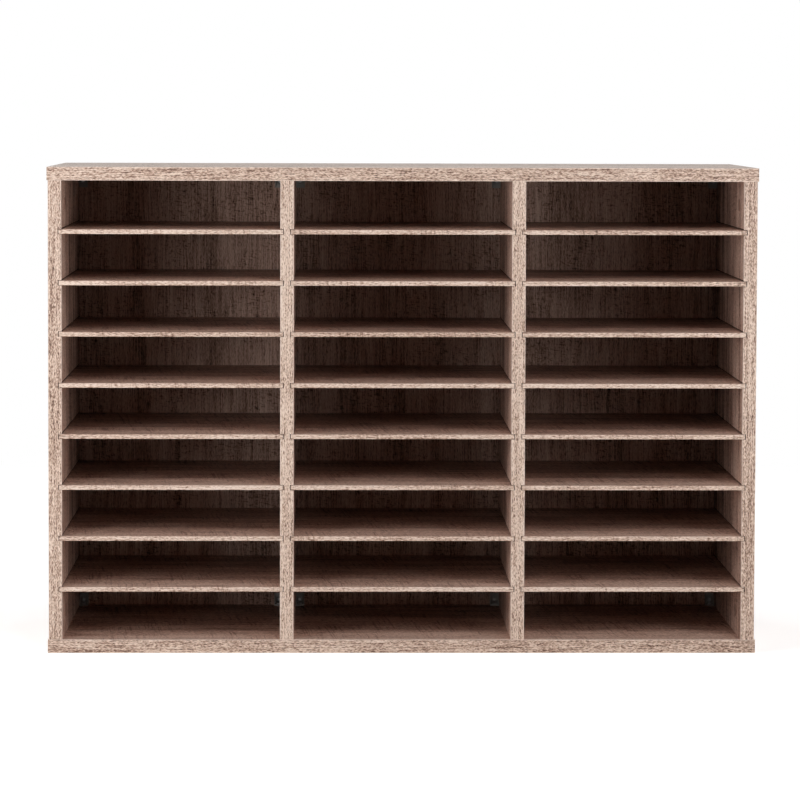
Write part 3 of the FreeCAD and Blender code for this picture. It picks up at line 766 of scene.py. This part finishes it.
# %% Lamps
LAMPS = (                   # name, place in m, width and height in m, power in W
    ("overhead", (0, -0.1, 2.4), (0.8, 0.6), 9),
    ("overhead_front", (0.8, -2.7, 2.4), (0.8, 0.6), 25),
    ("left_near", (-0.9, -1.0, 0.7), (0.3, 0.6), 3),
    ("left_low", (-1.4, -1.3, 0.45), (0.4, 0.8), 6),
    ("left_high", (-2.6, -1.0, 1.1), (0.7, 0.8), 16),
    ("right_near", (0.9, -1.0, 0.7), (0.3, 0.6), 1.7),
    ("right_low", (1.4, -1.3, 0.75), (0.4, 0.8), 5),
    ("right_far", (3.4, -3.0, 0.45), (0.7, 0.8), 17),
    ("left_rear", (-2.0, 2.2, 1.1), (1.2, 1.2), 26),
    ("right_rear", (2.0, 2.2, 1.1), (1.2, 1.2), 26))
LAMP_TARGET = Vector((0, 0, 0.35))


def add_lamp(name, place, size, power):
    """Area lamp that points at the sorter's middle and isn't seen itself."""
    lamp = bpy.data.lights.new(name, "AREA")
    lamp.shape = "RECTANGLE"
    lamp.size, lamp.size_y = size
    lamp.energy = power
    item = bpy.data.objects.new(name, lamp)
    item.visible_camera = False
    item.visible_glossy = place[1] < 0      # a lamp behind would only glare in the film
    item.location = place
    item.rotation_euler = (LAMP_TARGET - Vector(place)).to_track_quat("-Z", "Y").to_euler()
    bpy.context.scene.collection.objects.link(item)


for lamp in LAMPS:
    add_lamp(*lamp)
print(len(LAMPS), "lamps")

# %% [markdown]
# ## Floor
#
# The floor takes the sorter's shadow and turns plain white further off, so that it has no
# horizon. The camera sees a floor with a glow of its own, which lifts it to white without any
# more light on the sorter. Other rays meet a plain pale floor.

# %% Floor
FLOOR_REACH = 20            # m, from the middle to an edge
FLOOR_COLOUR = srgb(232, 231, 229)
FLOOR_GLOW = 0.5
SHADOW_ENDS = (900, 2200)   # mm from the middle, where the shadows fade into white


def floor_material():
    """Pale to the light, and shadowed or white to the camera."""
    finish = Finish("pale_floor")
    rays = finish.node("ShaderNodeLightPath", output="Is Camera Ray")
    plain = finish.node("ShaderNodeBsdfDiffuse", {}, {"Color": FLOOR_COLOUR})
    lit = finish.node("ShaderNodeBsdfDiffuse", {}, {"Color": (1, 1, 1, 1)})
    glow = finish.node("ShaderNodeEmission", {}, {"Strength": FLOOR_GLOW})
    bright = finish.node("ShaderNodeAddShader", {}, {0: lit, 1: glow})
    white = finish.node("ShaderNodeEmission", {}, {"Strength": 1.0})
    far = (finish.x * finish.x + finish.y * finish.y).math("SQRT").ramp(*SHADOW_ENDS)
    seen = finish.node("ShaderNodeMixShader", {}, {0: far, 1: bright, 2: white})
    both = finish.node("ShaderNodeMixShader", {}, {0: rays, 1: plain, 2: seen})
    finish.node("ShaderNodeOutputMaterial", {}, {"Surface": both}, None)
    return finish.material


def make_floor():
    corners = [(-FLOOR_REACH, -FLOOR_REACH, 0), (FLOOR_REACH, -FLOOR_REACH, 0),
               (FLOOR_REACH, FLOOR_REACH, 0), (-FLOOR_REACH, FLOOR_REACH, 0)]
    mesh = bpy.data.meshes.new("floor")
    mesh.from_pydata(corners, [], [(0, 1, 2, 3)])
    mesh.materials.append(floor_material())
    floor = bpy.data.objects.new("floor", mesh)
    bpy.context.scene.collection.objects.link(floor)


make_floor()
print("floor", 2 * FLOOR_REACH, "m across")
